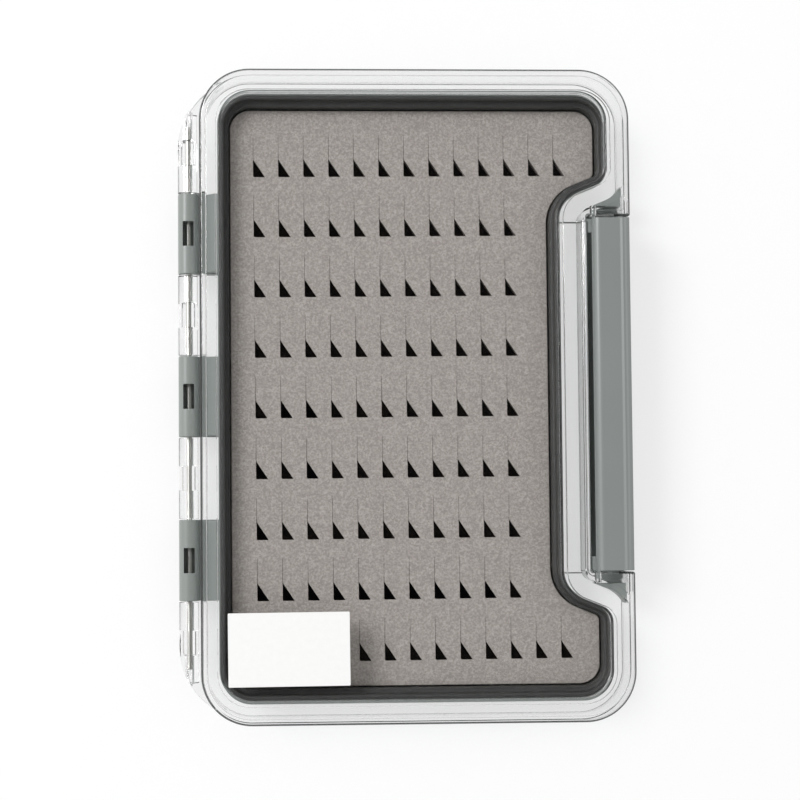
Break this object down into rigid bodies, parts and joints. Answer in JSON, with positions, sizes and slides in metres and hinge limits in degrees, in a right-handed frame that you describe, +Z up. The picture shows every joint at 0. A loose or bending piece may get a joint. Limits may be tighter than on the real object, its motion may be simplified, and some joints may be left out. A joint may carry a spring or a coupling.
{
  "type": "fly box",
  "caption": "Slim hinged storage box: slit-foam tray, gasket seal, clear lid on a pinned side hinge and a long latch along the opposite side.",
  "frame": {"origin": "centre of the closed box's outline, on the underside that rests on the table", "axes": "+Z up out of the lid, +Y along the hinge, +X from the hinge to the latch"},
  "size_m": [0.13, 0.187, 0.018],
  "materials": {
    "grey_plastic": "moulded warm grey plastic with a fine matt texture",
    "latch_plastic": "moulded grey plastic, satin",
    "clear_plastic": "clear moulded polycarbonate, polished",
    "grey_foam": "fine speckled closed-cell foam",
    "black_foam": "black closed-cell foam",
    "dark_rubber": "moulded dark grey silicone rubber",
    "steel": "drawn stainless wire",
    "white_paper": "blank white sticker"
  },
  "bodies": {
    "base": {"base": "grey_plastic", "gasket": "dark_rubber", "slit_foam": "grey_foam", "foam_backing": "black_foam", "hinge_pin": "steel"},
    "lid": {"lid": "clear_plastic", "label": "white_paper"},
    "latch": {"latch": "latch_plastic"}
  },
  "joints": [
    {"name": "lid_hinge", "type": "hinge", "parent": "base", "child": "lid", "pos_m": [-0.062, 0, 0.009], "axis": [0, -1, 0], "range_deg": [0, 180]},
    {"name": "latch_swing", "type": "hinge", "parent": "lid", "child": "latch", "pos_m": [0.0544, 0, 0.01625], "axis": [0, -1, 0], "range_deg": [0, 90]}
  ]
}
